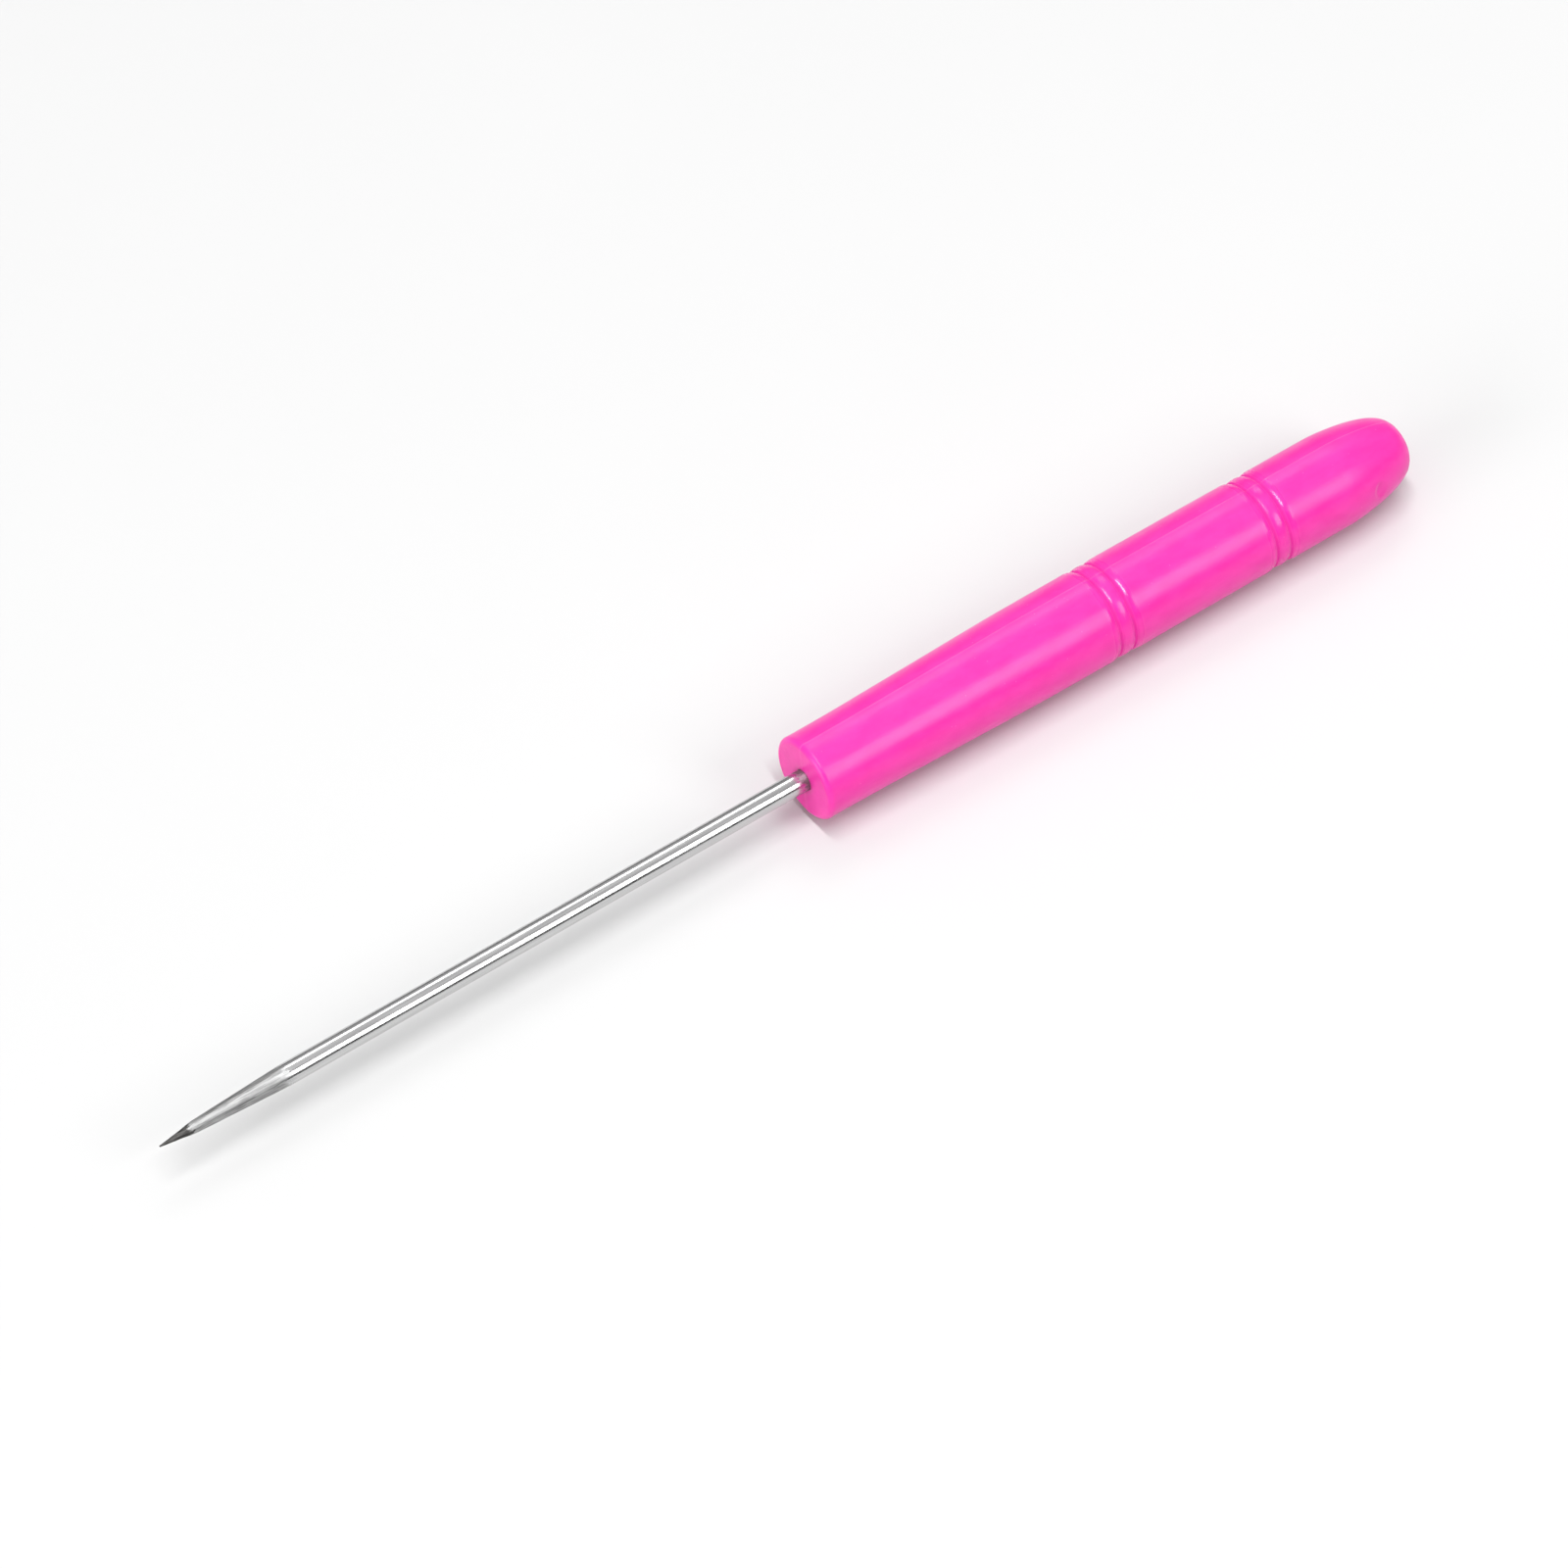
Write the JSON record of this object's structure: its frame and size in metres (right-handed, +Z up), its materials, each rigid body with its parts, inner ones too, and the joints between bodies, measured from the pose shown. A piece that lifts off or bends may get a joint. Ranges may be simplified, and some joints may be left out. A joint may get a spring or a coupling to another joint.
{
  "type": "needle awl",
  "caption": "Straight needle awl: a pointed, taper-ground steel needle fixed in a slim round plastic handle with moulded grip grooves and a domed end.",
  "frame": {"origin": "under the middle of the awl's length, on the plane that the widest ring of the handle touches", "axes": "X along the awl, the needle's point towards -X and the domed end of the handle towards +X; the common axis of handle and needle is parallel to X, above the origin; +Z up"},
  "size_m": [0.1318, 0.0088, 0.0088],
  "materials": {
    "handle_plastic": "satin moulded",
    "needle_steel": "bright drawn, ground at the point"
  },
  "bodies": {
    "root": {"handle": "handle_plastic", "needle": "needle_steel"}
  },
  "joints": []
}
